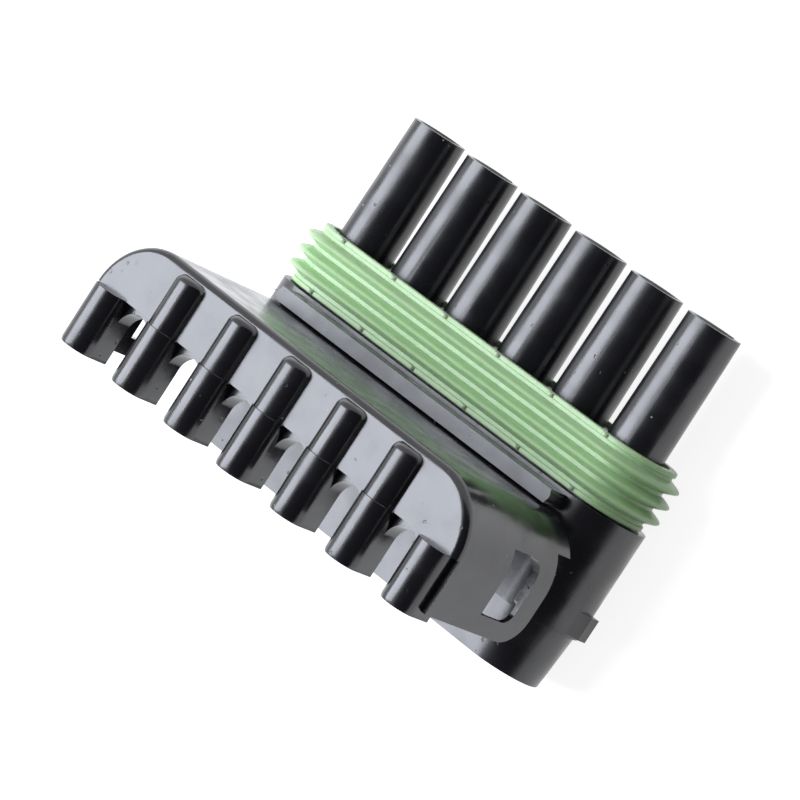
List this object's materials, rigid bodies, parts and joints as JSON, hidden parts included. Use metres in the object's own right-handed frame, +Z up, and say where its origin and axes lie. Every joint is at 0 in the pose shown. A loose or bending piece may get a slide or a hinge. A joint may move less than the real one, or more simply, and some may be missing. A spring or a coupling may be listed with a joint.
{
  "type": "sealed automotive connector",
  "caption": "Sealed in-line connector housing with a row of hollow towers, a ribbed ring seal and a hinged secondary-lock cover with a comb of wire slots.",
  "frame": {"origin": "middle of the part's box in plan, at the height of the seal's lowest fins, on which it lies", "axes": "+X along the row of cavities, +Y towards the tower tips, +Z up to the open cover"},
  "size_m": [0.0528, 0.038, 0.0323],
  "materials": {
    "housing_plastic": "glossy moulded black plastic",
    "cover_plastic": "glossy moulded black plastic",
    "seal_rubber": "light green silicone rubber, satin"
  },
  "bodies": {
    "body": {"housing": "housing_plastic", "ring_seal": "seal_rubber"},
    "cover": {"cover": "cover_plastic"}
  },
  "joints": [
    {"name": "cover_hinge", "type": "hinge", "parent": "body", "child": "cover", "pos_m": [0, -0.00365, 0.01275], "axis": [1, 0, 0], "range_deg": [0, 90], "stiffness_Nm_per_rad": 0.01}
  ]
}
